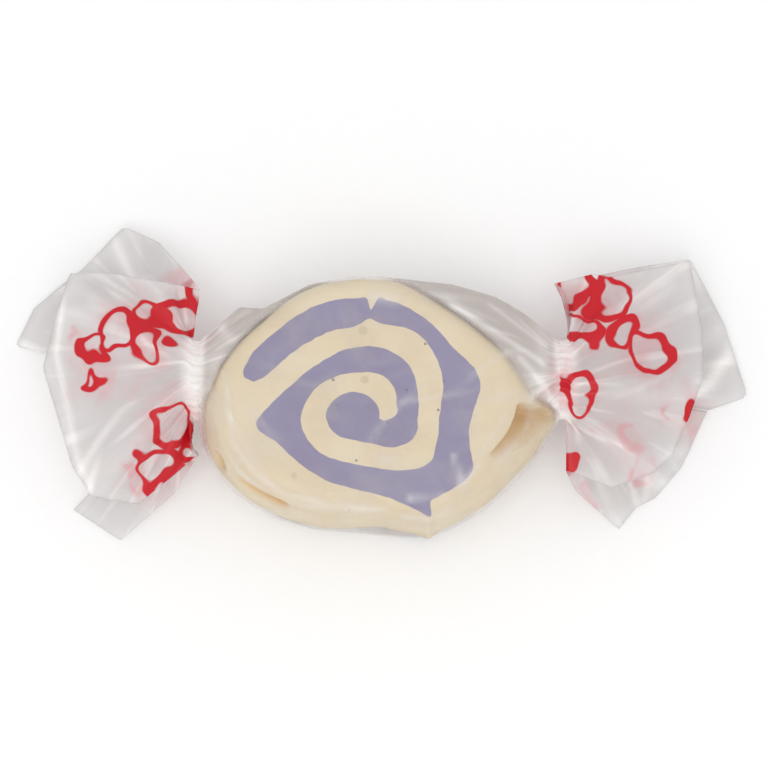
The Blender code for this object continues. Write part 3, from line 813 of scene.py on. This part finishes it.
def pleat_profile(bearings, seed):
    """An uneven zigzag of pleats, 0 on a ridge and up to 1 in a valley, and how far each reaches."""
    draw = random.Random(seed)
    edges = [0.0]
    for _ in range(PLEATS):
        edges.append(edges[-1] + draw.uniform(0.6, 1.4))
    edges = np.array(edges) * 360 / edges[-1]
    around = np.mod(bearings, 360)
    pleat = np.clip(np.searchsorted(edges, around, side="right") - 1, 0, PLEATS - 1)
    place = (around - edges[pleat]) / (edges[pleat + 1] - edges[pleat])
    lean = np.array([draw.uniform(0.35, 0.65) for _ in range(PLEATS)])[pleat]
    depth = np.array([draw.uniform(0.45, 1.0) for _ in range(PLEATS)])[pleat]
    reach = np.array([draw.uniform(0.25, 1.0) for _ in range(PLEATS)])[pleat]
    wave = np.where(place < lean, place / lean, (1 - place) / (1 - lean))
    return wave * depth, reach


def sheet_rows():
    """What each row of the sheet is: its kind, the side it is on, and its share of the way there."""
    rows = [("fan", -1, share) for share in np.linspace(1, 0, FAN_ROWS + 1)[:-1]]
    rows += [("neck", -1, reach) for reach in np.linspace(1, 0, NECK_ROWS)]
    turns = np.radians(np.linspace(-SLEEVE_SWING, SLEEVE_SWING, SLEEVE_ROWS))
    rows += [("sleeve", 0, math.sin(turn)) for turn in turns]
    rows += [("neck", 1, reach) for reach in np.linspace(0, 1, NECK_ROWS)]
    rows += [("fan", 1, share) for share in np.linspace(0, 1, FAN_ROWS + 1)[1:]]
    return rows


def place_along(kind, side, share):
    """Where a row lies along the spread sheet, roughly in millimetres from its middle."""
    if kind == "sleeve":
        return NECK_AT * share
    if kind == "neck":
        return side * (NECK_AT + NECK_SPAN * share)
    return side * (NECK_AT + NECK_SPAN + FAN_LENGTH * share)


def sheet_base(rows, across):
    """The smooth middle of the sheet, before its pleats and creases."""
    forms = taut_forms()
    grid = []
    for kind, side, share in rows:
        neck_x = LEFT_NECK_X if side < 0 or share < 0 else RIGHT_NECK_X
        if kind == "fan":
            grid.append(fan_row(side, share, across))
        elif kind == "neck":
            grid.append(neck_ring(neck_x + side * share * NECK_LENGTH, bearings_of(across, 1.0)))
        else:
            grid.append(sleeve_row(forms, abs(share) * neck_x, across))
    grid = np.array(grid)
    ease = np.array([neck_nearness(row) for row in rows])[:, None, None]
    for _ in range(NECK_EASING):
        middle = (np.roll(grid, 1, axis=0) + np.roll(grid, -1, axis=0)) / 2
        grid += ease * 0.5 * (middle - grid)
    return grid


def neck_nearness(row):
    """1 in a twist and 0 well away from it."""
    kind, _, share = row
    if kind == "neck":
        return 1.0
    if kind == "fan":
        return 1 - float(smoothstep(0.0, 0.12, share))
    return float(smoothstep(0.95, 0.995, abs(share)))


def pleat_depths(rows, bearings):
    """How far the pleats go in at every point: deepest in the twist, and fading away from it."""
    turn = np.radians(bearings)
    depths = []
    for kind, side, share in rows:
        wave, reach = pleat_profile(bearings, PLEAT_SEEDS[0 if side < 0 or share < 0 else 1])
        if kind == "neck":
            depth = NECK_PLEAT * wave
        elif kind == "fan":
            fine = (1 - share / reach).clip(0, 1) ** 1.5
            broad = 0.5 + 0.5 * np.sin(turn * BROAD_PLEATS + side + 2 * np.sin(turn * 2))
            depth = NECK_PLEAT * wave * fine + BROAD_PLEAT * broad * share * (1 - share) * 4
        else:
            depth = NECK_PLEAT * wave * smoothstep(0.95 - 0.3 * reach, 1.0, abs(share)) ** 3
        depths.append(depth)
    return np.array(depths)


def creases_on(along, around, seed, count, spots, lengths, heights, spread):
    """Sharp ridges and valleys at random places on the flat sheet, and how white each crease is."""
    draw = random.Random(seed)
    height = np.zeros_like(along)
    white = np.zeros_like(along)
    for _ in range(count):
        s = draw.uniform(*spots)
        t = draw.uniform(0, SHEET_WIDTH)
        angle = math.radians(draw.gauss(0, spread))
        length = draw.uniform(*lengths)
        width = draw.uniform(0.5, 1.8)
        rise = draw.uniform(*heights) * draw.choice((-1, 1))
        run = (along - s) * math.cos(angle) + (around - t) * math.sin(angle)
        off = (around - t) * math.cos(angle) - (along - s) * math.sin(angle)
        fade = np.clip(1.3 - np.abs(run) / (length / 2), 0, 1)
        height += rise * MM * fade * np.clip(1 - np.abs(off) / width, 0, 1)
        white += draw.uniform(0.2, 0.8) * fade * np.exp(-((off / CREASE_WIDTH) ** 2))
    return height, white


def named_folds_and_highlights(base):
    """How white the sheet's upper side is along its longest folds and where it sticks, with a painted
    highlight where they follow the slice's rim.
    """
    x, y, z = np.moveaxis(base, 2, 0) / MM
    white = np.zeros_like(x)
    for (x0, y0), (x1, y1), width, share in FOLDS_AND_RIM_HIGHLIGHTS:
        run_x, run_y = x1 - x0, y1 - y0
        along = ((x - x0) * run_x + (y - y0) * run_y) / (run_x**2 + run_y**2)
        along = along.clip(0, 1)
        off = np.hypot(x - x0 - along * run_x, y - y0 - along * run_y)
        white = np.maximum(white, share * np.exp(-((off / width) ** 2)))
    return white * smoothstep(5, 7, z)


def clear_of(sweet, grid, rows):
    """The sheet with every point that would touch the sweet moved just off it."""
    for r in rows:
        for c, p in enumerate(grid[r]):
            spot, normal, _, _ = sweet.find_nearest(p)
            height = (Vector(p) - spot).dot(normal)
            if height < PAPER:
                grid[r, c] = spot + normal * PAPER * 1.5
    return grid


def nearness(base, gaps):
    """1 where the sheet lies close enough to the sweet to look clear, and 0 where it stands off."""
    x, y = base[:, :, 0], base[:, :, 1]
    away = np.hypot(x - POCKET_SPOT[0], y - POCKET_SPOT[1])
    spare = gaps - FRONT_SLACK * (1 - smoothstep(*FRONT_AND_BACK, y))
    spare = spare - POCKET_SLACK * (1 - smoothstep(*POCKET_RADII, away))
    return 1 - smoothstep(*CLEAR_GAPS, spare)


def whiteness(rows, base, pleat, near, creased):
    """How white the sheet is along its creases, the slice's rim, its pleats and its longest folds; at the
    rim it is a painted highlight, and at the ridges, the twists and some folds partly painted light.
    """
    # A patchy painted highlight along the slice's rim.
    rim = SLICE_BASE + SLICE_THICK - RIM_HIGHLIGHT_DROP
    at_rim = np.exp(-(((base[:, :, 2] - rim) / RIM_HIGHLIGHT_WIDTH) ** 2))
    patchy = np.array([[noise.noise(Vector(p) * PATCH_SCALE) for p in row] for row in base])
    fold = at_rim * near * smoothstep(-0.25, 0.35, patchy)
    # The twists whiten where the paper bunches, partly as painted light against the shade in their pleats.
    tight = np.array([[neck_nearness(row)] for row in rows])
    # The pleats' ridges whiten, partly as a painted highlight.
    ridges = np.exp(-pleat / RIDGE_DEPTH) * smoothstep(0, 0.1 * MM, pleat.max(axis=1, keepdims=True))
    white = np.clip(creased + fold * RIM_HIGHLIGHT_WHITENESS, 0, 1)
    white = white + tight * NECK_WHITENESS_AND_PAINTED_LIGHT + ridges * RIDGE_WHITENESS_AND_HIGHLIGHT * (1 - near)
    return np.clip(white + named_folds_and_highlights(base), 0, 1)


def sheet_form():
    """The finished middle of the sheet, with its nearness to the sweet and its whiteness."""
    rows = sheet_rows()
    across = np.linspace(0, 1, SHEET_COLUMNS)
    base = sheet_base(rows, across)
    normal = outward(base)
    bearings = bearings_of(across, 1.0)
    along = np.repeat([[place_along(*row)] for row in rows], SHEET_COLUMNS, axis=1)
    around = np.repeat([across * SHEET_WIDTH], len(rows), axis=0)
    pleat = pleat_depths(rows, bearings)
    crumple, creased = 0, 0
    for *crease, share in CRUMPLES:
        height, white = creases_on(along, around, *crease)
        crumple = crumple + height
        creased = creased + white * share
    lowest, *others = slice_rings(SWEET_SIDES, 0.0, False)
    sweet = tree_of([lowest * (1, 1, 0), *others], False)
    gaps = np.array([[sweet.find_nearest(p)[3] for p in row] for row in base])
    room = (gaps - CLEARANCE).clip(0, None)
    edge_room = smoothstep(0, 1.5, SHEET_WIDTH / 2 - np.abs(around - SHEET_WIDTH / 2))
    move = crumple * edge_room - pleat
    sleeve = np.array([[kind == "sleeve"] for kind, _, _ in rows]) * np.ones_like(gaps)
    move = np.where(sleeve > 0, np.maximum(move, -room), move)
    step = PLY_STEP * smoothstep(0.45, 0.7, across)
    grid = base + normal * (move + step[None, :])[:, :, None]
    grid = clear_of(sweet, grid, [r for r, row in enumerate(rows) if row[0] != "fan"])
    near = nearness(base, gaps) * sleeve
    return grid, along, around, near, whiteness(rows, base, pleat, near, creased), sleeve


def make_sheet():
    """The sheet as a closed shell of one thickness, with what its finish needs on each point."""
    grid, along, around, near, white, film = sheet_form()
    normals = outward(grid)
    rows, columns = grid.shape[:2]
    outer = (grid + normals * PAPER / 2).reshape(-1, 3)
    inner = (grid - normals * PAPER / 2).reshape(-1, 3)
    points = np.vstack([outer, inner])
    low, high = np.array(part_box("wrapper"))
    points = points.clip(low + (BOX_MARGIN, BOX_MARGIN, 0), high - BOX_MARGIN)
    half = rows * columns
    r, c = (k.ravel() for k in np.meshgrid(np.arange(rows - 1), np.arange(columns - 1), indexing="ij"))
    a = r * columns + c
    skin = np.stack([a, a + 1, a + columns + 1, a + columns], axis=1)
    lining = half + skin[:, ::-1]
    faces = [tuple(f) for f in skin.tolist()] + [tuple(f) for f in lining.tolist()]
    for c in range(columns - 1):
        for first, turn in ((c, 1), ((rows - 1) * columns + c, -1)):
            faces.append((first, first + half, first + half + 1, first + 1)[::turn])
    for r in range(rows - 1):
        for first, turn in ((r * columns, -1), (r * columns + columns - 1, 1)):
            faces.append((first, first + half, first + half + columns, first + columns)[::turn])
    sheet = joined_mesh("waxed_paper", points, faces)
    mesh = sheet.data
    uv = mesh.uv_layers.new(name="paper")
    flat = np.stack([along.ravel() / UV_UNIT + 0.5, around.ravel() / UV_UNIT], axis=1)
    flat = np.vstack([flat, flat])
    corner = np.empty(len(mesh.loops), int)
    mesh.loops.foreach_get("vertex_index", corner)
    uv.data.foreach_set("uv", flat[corner].ravel())
    # The crease layer carries crease whitening and the painted highlights.
    layers = {
        "near": (near, near), "crease": (white, white), "film": (film, film),
        "inner": (np.zeros(half), np.ones(half)),
    }
    for name, sides in layers.items():
        layer = mesh.attributes.new(name, "FLOAT", "POINT")
        layer.data.foreach_set("value", np.concatenate([side.ravel() for side in sides]))
    mesh.shade_smooth()
    return sheet


def print_distance(recipe, at):
    """How far a spot of the paper is from the red print, which is loops of uneven thickness."""
    away = None
    for x, y, radius, hole, lean in LOOPS:
        outer = recipe.distance(at, (x * MM, y * MM, 0)) - radius * MM
        off = (radius - hole) * 0.5 * MM
        spot = (x * MM + off * math.cos(lean), y * MM + off * math.sin(lean), 0)
        inner = hole * MM - recipe.distance(at, spot)
        loop = outer.most(inner)
        away = loop if away is None else away.least(loop)
    return away / MM - INK_SPREAD


def drawn_spot(recipe, place):
    """Where a spot lies in the print, which is drawn from above with lines that wander."""
    wander = recipe.add("ShaderNodeTexNoise", None, {"Vector": place, "Scale": WANDER_SCALE, "Detail": 1})
    wander = recipe.vector("SUBTRACT", wander.outputs[1], (0.5, 0.5, 0.5))
    wander = recipe.vector("MULTIPLY", wander, (WANDER, WANDER, WANDER))
    return recipe.vector("MULTIPLY", recipe.vector("ADD", place, wander), (1, 1, 0))


def print_blur(recipe, place, drawn, away):
    """How much print shows faintly: a rim round each loop, and broken strokes in the pale patches."""
    blur = away.rise(-0.3, 1.9, 1.0, 0.0)
    stroke = (recipe.noise(280, 1, place) - 0.5).size().rise(0.01, 0.05, 1.5, 0.0)
    for x, y, radius in BLOTCHES:
        spot = recipe.distance(drawn, (x * MM, y * MM, 0)) / (radius * MM)
        faint = spot.rise(0.2, 1.0)
        blur = blur.most(0.45 * (1 - faint) + stroke * (1 - faint))
    return blur


def streaks_along(recipe):
    """Fine pale streaks that run along the flat sheet."""
    flat = recipe.add("ShaderNodeUVMap", {"uv_map": "paper"}).outputs[0]
    sockets = {"Vector": recipe.vector("MULTIPLY", flat, STREAKS), "Scale": 1, "Detail": 2}
    streaks = recipe.add("ShaderNodeTexNoise", {"noise_dimensions": "2D"}, sockets)
    return Amount(recipe, streaks.outputs[0]).rise(0.5, 0.78)


def paper_finish():
    """Waxed paper: milky and translucent, clear over the sweet, printed in red at its ends."""
    recipe = Recipe("waxed_paper_finish")
    place = recipe.place()
    inner = recipe.attribute("inner")
    near = recipe.attribute("near")
    film = recipe.attribute("film")
    height = Amount(recipe, recipe.add("ShaderNodeSeparateXYZ", None, {0: place}).outputs[2])
    drawn = drawn_spot(recipe, place)
    away = print_distance(recipe, drawn)
    ink = away.rise(-0.08, 0.08, 1.0, 0.0) * height.rise(*INK_HEIGHTS) * (1 - film)
    blur = print_blur(recipe, place, drawn, away)
    cloud = recipe.noise(300, 3, place, 0.6)
    # Crease whitening and painted highlights, with pale streaks where the paper stands off.
    crease = (recipe.attribute("crease") + streaks_along(recipe) * (1 - near) * 0.45).least(1.0)
    paper = recipe.blend(cloud.rise(0.3, 0.7) * 0.5, PAPER_WHITE, PAPER_SHADE)
    paper = recipe.blend(film * 0.6, paper, FILM_SHADE)
    paper = recipe.blend(crease, paper, CREASE_AND_HIGHLIGHT_WHITE)
    paper = recipe.blend(blur * cloud.rise(0.42, 0.6, 0.07, 0.75), paper, INK_PALE)
    front = recipe.blend(ink, paper, INK_RED)
    back = recipe.blend(blur * 0.4, paper, INK_PALE)
    colour = recipe.blend(inner, front, back)
    milky = MILKY_COVER + film * 0.14 + cloud.rise(0.3, 0.7) * 0.06 + crease * 0.25
    clear = CLEAR_COVER + crease * 0.3 + cloud.rise(0.42, 0.75) * 0.09
    cover = milky + (clear - milky) * near
    cover = cover.most(ink * (1 - inner))
    relief = recipe.bump(cloud, 0.03 * MM, 0.5)
    skin = recipe.add("ShaderNodeBsdfPrincipled", None, {
        "Base Color": colour,
        "Roughness": cloud.rise(0.3, 0.7, 0.36, 0.5),
        "Specular IOR Level": 0.4,
        # A painted glow along the creases and painted highlights, kept off the ink.
        "Emission Color": recipe.blend(crease * (1 - ink), (0.0, 0.0, 0.0), CREASE_PAINTED_GLOW),
        "Emission Strength": 1.0,
        "Normal": relief,
    })
    glow = recipe.add("ShaderNodeBsdfTranslucent", None, {"Color": colour, "Normal": relief})
    through = LET_THROUGH * (1 - ink * 0.7) * (1 - near * 0.8)
    body = recipe.add("ShaderNodeMixShader", None, {0: through, 1: skin.outputs[0], 2: glow.outputs[0]})
    gap = recipe.add("ShaderNodeBsdfTransparent")
    whole = recipe.add("ShaderNodeMixShader", None, {0: cover, 1: gap.outputs[0], 2: body.outputs[0]})
    return recipe.finish(whole.outputs[0])


sheet = make_sheet()
sheet.data.materials.append(paper_finish())
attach(sheet, "root")
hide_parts("wrapper")


# The table, the light and the camera
# A pale matt table in a white room, with soft light from a big window above and in front of it,
# seen from nearly overhead.
FLOOR_HALF = 0.6
FLOOR_PALE = (0.95, 0.95, 0.95)
FLOOR_WHITE = (0.97, 0.97, 0.97)
ROOM_LIGHT = 0.82
WINDOW_POWER = 2.1
WINDOW_SIZE = 0.6
WINDOW_AT = (-0.05, -0.3, 0.76)
SEE_THROUGH_LAYERS = 14
VIEW_HEIGHT = 78
LENS = 180
SENSOR_WIDTH = 36
SEEN_WIDTH = 67.07 * MM
AIM = (0.26 * MM, 1.91 * MM, 7.0 * MM)


def floor_finish():
    recipe = Recipe("pale_table")
    shader = recipe.add("ShaderNodeBsdfPrincipled", None, {
        "Base Color": recipe.blend(recipe.noise(900, 2), FLOOR_PALE, FLOOR_WHITE),
        "Roughness": 0.9,
        "Specular IOR Level": 0.1,
    })
    return recipe.finish(shader.outputs[0])


def make_floor():
    corners = [(x * FLOOR_HALF, y * FLOOR_HALF, 0) for x, y in ((-1, -1), (1, -1), (1, 1), (-1, 1))]
    floor = joined_mesh("table", corners, [(0, 1, 2, 3)])
    floor.data.materials.append(floor_finish())


def add_window():
    """A square soft light that faces the sweet."""
    lamp = bpy.data.lights.new("window", "AREA")
    lamp.energy = WINDOW_POWER
    lamp.size = WINDOW_SIZE
    thing = bpy.data.objects.new("window", lamp)
    thing.location = WINDOW_AT
    thing.rotation_euler = (-Vector(WINDOW_AT)).to_track_quat("-Z", "Y").to_euler()
    bpy.context.scene.collection.objects.link(thing)


def add_room_light():
    world = bpy.data.worlds.new("white_room")
    world.use_nodes = True
    background = world.node_tree.nodes["Background"]
    background.inputs["Color"].default_value = (1, 1, 1, 1)
    background.inputs["Strength"].default_value = ROOM_LIGHT
    bpy.context.scene.world = world


def add_camera():
    camera = bpy.data.cameras.new("camera")
    camera.lens = LENS
    camera.sensor_width = SENSOR_WIDTH
    distance = SEEN_WIDTH * LENS / SENSOR_WIDTH
    rise = math.radians(VIEW_HEIGHT)
    away = Vector((0, -math.cos(rise), math.sin(rise)))
    thing = bpy.data.objects.new("camera", camera)
    thing.location = Vector(AIM) + away * distance
    thing.rotation_euler = (-away).to_track_quat("-Z", "Y").to_euler()
    bpy.context.scene.collection.objects.link(thing)
    bpy.context.scene.camera = thing


make_floor()
add_room_light()
add_window()
add_camera()
scene = bpy.context.scene
scene.view_settings.view_transform = "Standard"
scene.cycles.transparent_max_bounces = SEE_THROUGH_LAYERS
